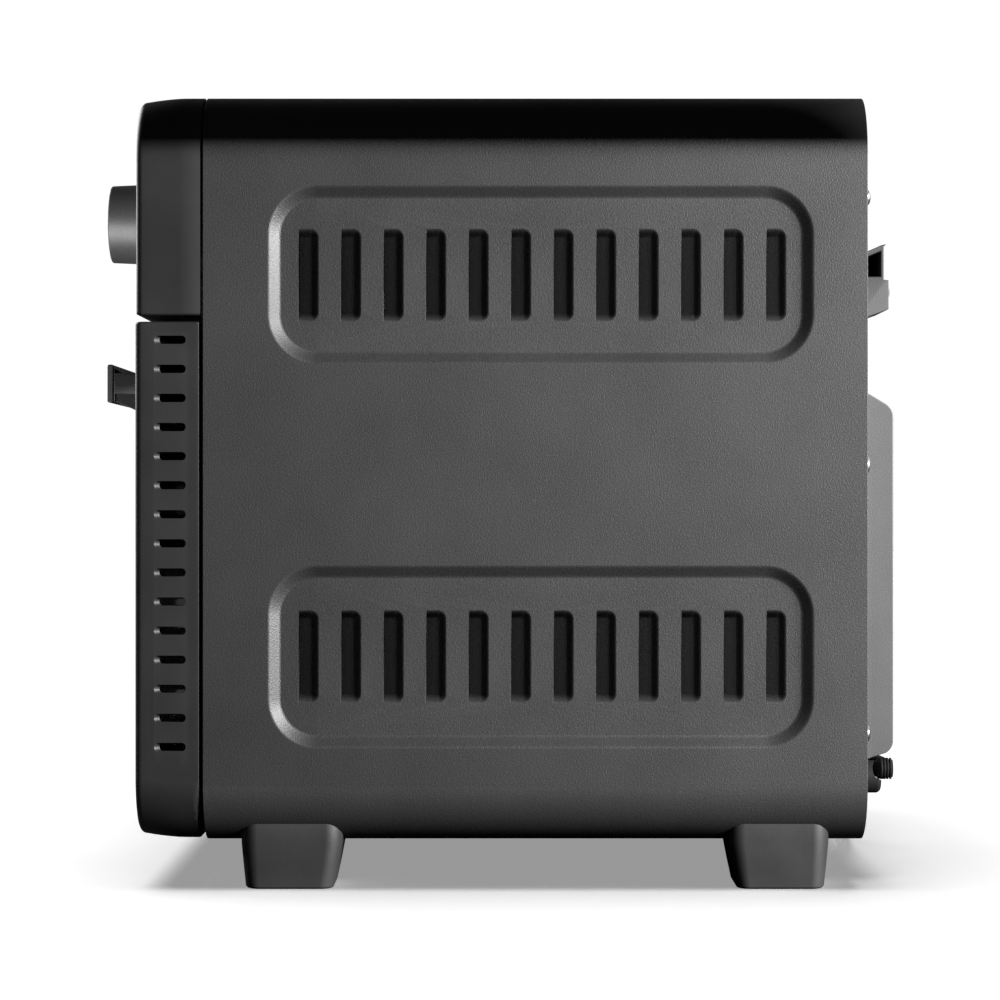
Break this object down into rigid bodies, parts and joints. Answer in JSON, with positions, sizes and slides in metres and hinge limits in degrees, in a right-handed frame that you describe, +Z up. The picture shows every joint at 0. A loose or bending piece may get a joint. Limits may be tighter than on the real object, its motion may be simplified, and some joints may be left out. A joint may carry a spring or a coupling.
{
  "type": "toaster oven",
  "caption": "Countertop convection toaster oven with a drop-down glass door, turning control knobs, a sliding wire rack, vented steel sides and moulded feet.",
  "frame": {"origin": "on the surface that the oven stands on, under the middle of its box without the power cord", "axes": "+Z up, -Y towards the user (door and knobs), +X to the right hand side seen from the front"},
  "size_m": [0.51, 0.3862, 0.375],
  "materials": {
    "coat": "dark grey powder coat with a fine grain",
    "moulding": "smooth matte moulding",
    "knob": "satin silver grey",
    "steel": "plain bright steel",
    "handle": "dark brushed steel",
    "galvanised": "galvanised sheet",
    "cover": "satin light grey paint",
    "chrome": "bright chrome plate",
    "enamel": "dark baked enamel",
    "glass": "smoked clear",
    "element": "heat darkened sheath with pale ceramic ends",
    "plastic": "matte dark grey",
    "rubber": "matte black",
    "lens": "clear red"
  },
  "bodies": {
    "root": {"base_plate": "galvanised", "bumper_left": "rubber", "bumper_right": "rubber", "cavity_liner": "enamel", "control_panel": "moulding", "cord_coil": "rubber", "cord_gland": "rubber", "crumb_tray": "galvanised", "element_lower_front": "element", "element_lower_rear": "element", "element_upper_front": "element", "element_upper_rear": "element", "fan_guard": "galvanised", "fan_motor": "galvanised", "foot_front_left": "plastic", "foot_front_right": "plastic", "foot_rear_left": "plastic", "foot_rear_right": "plastic", "front_frame": "galvanised", "function_switch": "galvanised", "hinge_bracket_left": "galvanised", "hinge_bracket_right": "galvanised", "indicator_lens": "lens", "outer_wrap": "coat", "power_cord": "rubber", "power_plug": "rubber", "rear_cover": "cover", "rear_panel": "galvanised", "rear_screw_left_1": "steel", "rear_screw_left_2": "steel", "rear_screw_left_3": "steel", "rear_screw_right_1": "steel", "rear_screw_right_2": "steel", "rear_screw_right_3": "steel", "strain_relief": "rubber", "thermostat": "galvanised", "timer": "galvanised", "wall_spacer_left": "cover", "wall_spacer_right": "cover"},
    "door": {"door_shell": "moulding", "door_back_plate": "galvanised", "door_glass_outer": "glass", "door_glass_inner": "glass", "handle_bar": "handle", "handle_bracket_left": "plastic", "handle_bracket_right": "plastic", "hinge_pin_left": "steel", "hinge_pin_right": "steel", "hinge_spring_left": "steel", "hinge_spring_right": "steel"},
    "rack": {"wire_rack": "chrome"},
    "fan": {"fan": "steel"},
    "temperature_knob": {"knob_temperature": "knob", "shaft_temperature": "steel"},
    "function_knob": {"knob_function": "knob", "shaft_function": "steel"},
    "timer_knob": {"knob_timer": "knob", "shaft_timer": "steel"}
  },
  "joints": [
    {"name": "door_hinge", "type": "hinge", "parent": "root", "child": "door", "pos_m": [0, -0.14355, 0.029], "axis": [1, 0, 0], "range_deg": [0, 82], "stiffness_Nm_per_rad": 0.3, "springref_deg": -85.94},
    {"name": "rack_slide", "type": "slide", "parent": "root", "child": "rack", "axis": [0, -1, 0], "range_m": [0, 0.101]},
    {"name": "fan_spin", "type": "hinge", "parent": "root", "child": "fan", "pos_m": [0, 0.007, 0.239], "axis": [0, 0, 1], "continuous": true},
    {"name": "temperature_turn", "type": "hinge", "parent": "root", "child": "temperature_knob", "pos_m": [-0.13, -0.16815, 0.3187], "axis": [0, 1, 0], "range_deg": [0, 270]},
    {"name": "function_turn", "type": "hinge", "parent": "root", "child": "function_knob", "pos_m": [0, -0.16815, 0.3187], "axis": [0, 1, 0], "range_deg": [0, 240]},
    {"name": "timer_turn", "type": "hinge", "parent": "root", "child": "timer_knob", "pos_m": [0.13, -0.16815, 0.3187], "axis": [0, 1, 0], "range_deg": [0, 330]}
  ],
  "couplings": [
    {"joint": "rack_slide", "follows": "door_hinge", "m_per_rad": 0.07}
  ]
}
